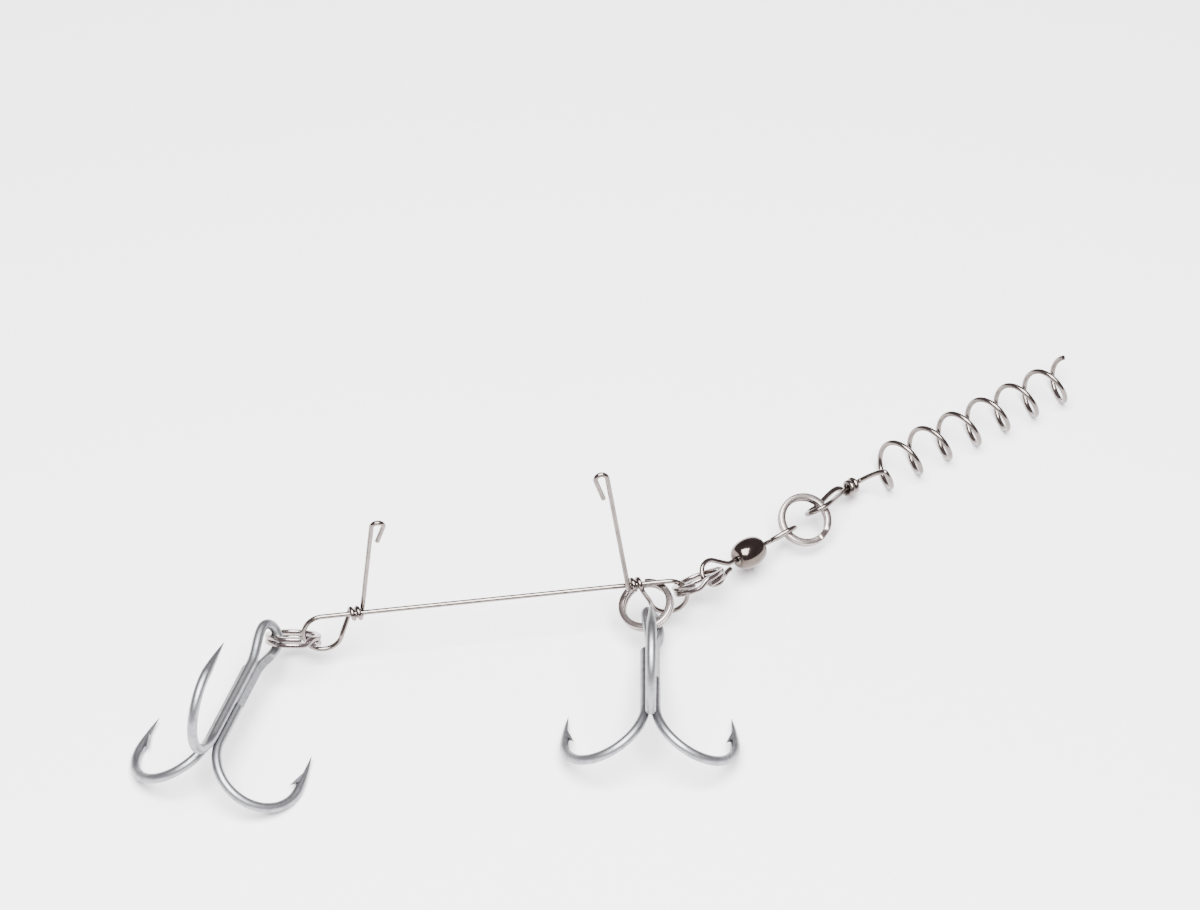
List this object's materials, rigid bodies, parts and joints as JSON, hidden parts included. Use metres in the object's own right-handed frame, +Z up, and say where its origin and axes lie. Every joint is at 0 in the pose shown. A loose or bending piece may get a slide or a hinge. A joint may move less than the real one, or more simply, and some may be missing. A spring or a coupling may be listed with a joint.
{
  "type": "treble hook rig",
  "caption": "Bent wire stinger for a soft fishing lure, with treble hooks hung on split rings and a corkscrew that turns into the lure's nose by way of a barrel swivel.",
  "frame": {"origin": "on the table, under the middle of the rig's bounding box", "axes": "+Z up, +X along the corkscrew's axis towards its cut tip, and the hooks lie towards -X and -Y"},
  "size_m": [0.1816, 0.0636, 0.0336],
  "materials": {
    "bright_wire": "bright drawn stainless wire",
    "flattened_steel": "bright stainless, rolled flat with rounded edges",
    "tinned_hook": "satin tin plating, matt where pressed and brazed",
    "black_nickel": "polished black nickel"
  },
  "bodies": {
    "stinger": {"stinger_wire": "bright_wire"},
    "rear_ring": {"rear_split_ring": "flattened_steel"},
    "rear_treble": {"rear_double_hook": "tinned_hook", "rear_single_hook": "tinned_hook", "rear_braze": "tinned_hook"},
    "front_ring": {"front_split_ring": "flattened_steel"},
    "front_treble": {"front_double_hook": "tinned_hook", "front_single_hook": "tinned_hook", "front_braze": "tinned_hook"},
    "swivel_ring": {"swivel_split_ring": "flattened_steel"},
    "swivel_rear_eye": {"swivel_rear_eye": "bright_wire"},
    "barrel": {"swivel_barrel": "black_nickel"},
    "swivel_front_eye": {"swivel_front_eye": "bright_wire"},
    "corkscrew_ring": {"corkscrew_split_ring": "flattened_steel"},
    "corkscrew_screw": {"corkscrew": "bright_wire"}
  },
  "joints": [
    {"name": "rear_ring_swing", "type": "hinge", "parent": "stinger", "child": "rear_ring", "pos_m": [-0.05492, 0.02773, 0.00625], "axis": [0.3713, 0.4928, 0.7869], "range_deg": [-60, 60]},
    {"name": "rear_treble_swing", "type": "hinge", "parent": "rear_ring", "child": "rear_treble", "pos_m": [-0.06077, 0.02836, 0.00862], "axis": [-0.0254, -0.8418, 0.5391], "range_deg": [-80, 80]},
    {"name": "front_ring_swing", "type": "hinge", "parent": "stinger", "child": "front_ring", "pos_m": [-0.00349, 0.00324, 0.0072], "axis": [-0.3609, -0.0728, 0.9298], "range_deg": [-30, 11]},
    {"name": "front_treble_swing", "type": "hinge", "parent": "front_ring", "child": "front_treble", "pos_m": [-0.00597, -0.00169, 0.00585], "axis": [0.8697, -0.3862, 0.3073], "range_deg": [-45, 90]},
    {"name": "swivel_ring_swing", "type": "hinge", "parent": "stinger", "child": "swivel_ring", "pos_m": [0.00224, 0.00062, 0.00798], "axis": [0.0095, 0.6781, 0.7349], "range_deg": [-22, 14]},
    {"name": "swivel_rear_eye_swing", "type": "hinge", "parent": "swivel_ring", "child": "swivel_rear_eye", "pos_m": [0.00818, 0.00194, 0.00668], "axis": [-0.5404, 0.6219, -0.5668], "range_deg": [-45, 35]},
    {"name": "barrel_spin", "type": "hinge", "parent": "swivel_rear_eye", "child": "barrel", "pos_m": [0.0169, 0.00297, 0.00576], "axis": [0.9877, 0.116, -0.1045], "continuous": true},
    {"name": "swivel_front_eye_spin", "type": "hinge", "parent": "barrel", "child": "swivel_front_eye", "pos_m": [0.02499, 0.00392, 0.00491], "axis": [0.9877, 0.116, -0.1045], "continuous": true},
    {"name": "corkscrew_ring_swing", "type": "hinge", "parent": "swivel_front_eye", "child": "corkscrew_ring", "pos_m": [0.02707, 0.00416, 0.00469], "axis": [-0.0666, -0.474, 0.878], "range_deg": [-60, 50]},
    {"name": "corkscrew_screw_swing", "type": "hinge", "parent": "corkscrew_ring", "child": "corkscrew_screw", "pos_m": [0.03362, 0.005, 0.00564], "axis": [-0.1864, 0.8704, 0.4558], "range_deg": [-60, 80]}
  ]
}
